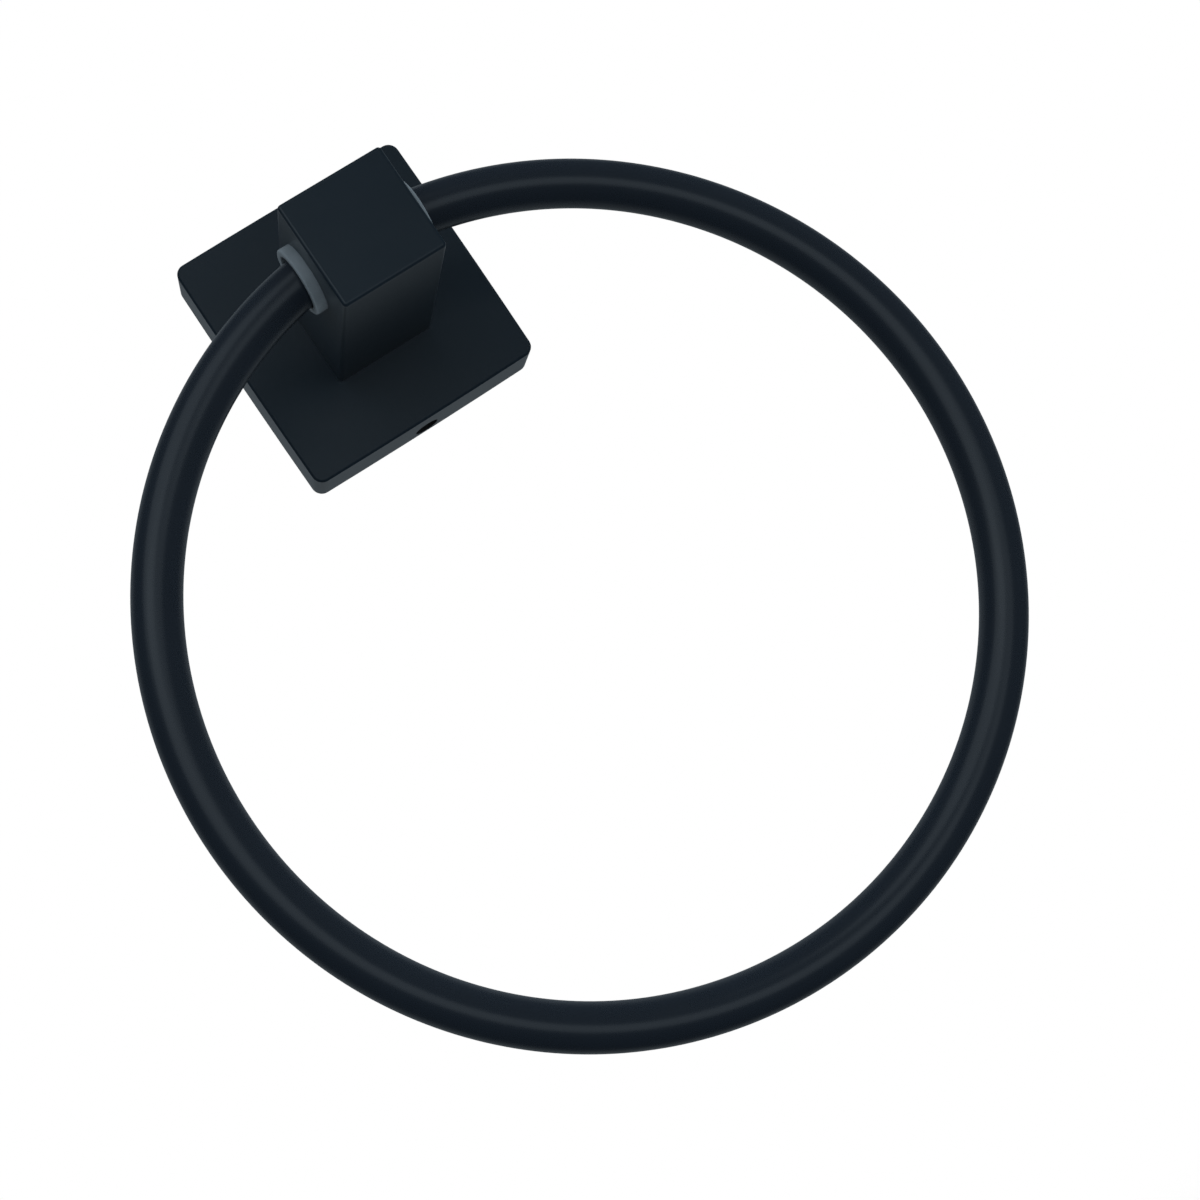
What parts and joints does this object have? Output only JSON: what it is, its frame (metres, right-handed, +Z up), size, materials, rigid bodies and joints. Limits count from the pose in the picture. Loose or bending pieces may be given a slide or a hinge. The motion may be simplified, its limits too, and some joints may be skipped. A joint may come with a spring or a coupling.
{
  "type": "towel ring",
  "caption": "Round towel ring of satin black bar that swings in grey bushings in a square post, on a square rose that hooks over a hidden wall bracket.",
  "frame": {"origin": "middle of the rose's back face, on the wall", "axes": "+Y into the wall, +Z up, +X to the right as seen from the room; the post stands out towards -Y and the ring hangs towards -Z"},
  "size_m": [0.16, 0.06, 0.1794],
  "materials": {
    "black_paint": "satin black coating",
    "grey_plastic": "moulded",
    "bright_steel": "zinc plated"
  },
  "bodies": {
    "mount": {"mounting_post": "black_paint", "left_bushing": "grey_plastic", "right_bushing": "grey_plastic", "wall_bracket": "bright_steel", "set_screw": "bright_steel"},
    "ring": {"ring": "black_paint"}
  },
  "joints": [
    {"name": "ring_swing", "type": "hinge", "parent": "mount", "child": "ring", "pos_m": [0, -0.0465, 0.001], "axis": [-1, 0, 0], "range_deg": [-16, 196]}
  ]
}
